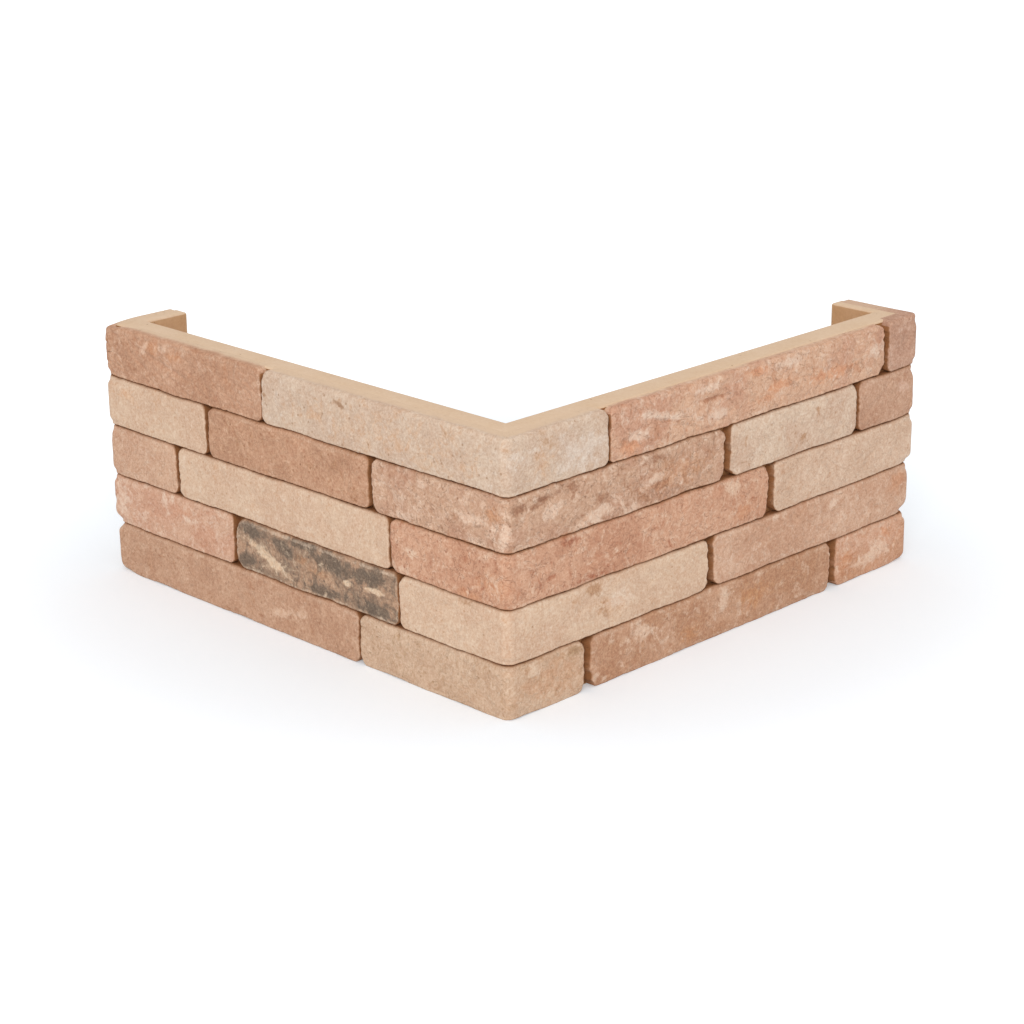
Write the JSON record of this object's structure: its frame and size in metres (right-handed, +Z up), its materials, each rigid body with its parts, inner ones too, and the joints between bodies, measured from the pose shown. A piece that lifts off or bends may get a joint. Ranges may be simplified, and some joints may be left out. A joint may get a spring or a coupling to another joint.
{
  "type": "brick veneer corner",
  "caption": "L-shaped cast corner with a tumbled brick pattern in relief on its outer faces, a smooth back, and a short return at each leg's end.",
  "frame": {"origin": "middle of the base", "axes": "+X along the right leg, whose brick face looks towards -Y; +Y along the left leg, whose brick face looks towards -X; +Z up"},
  "size_m": [0.625, 0.61, 0.275],
  "materials": {
    "cast_stone": "cast concrete, buff body colour, with mineral pigments in pink, terracotta, cream and charred brown on the brick faces, matt"
  },
  "bodies": {
    "root": {"veneer_corner": "cast_stone"}
  },
  "joints": []
}
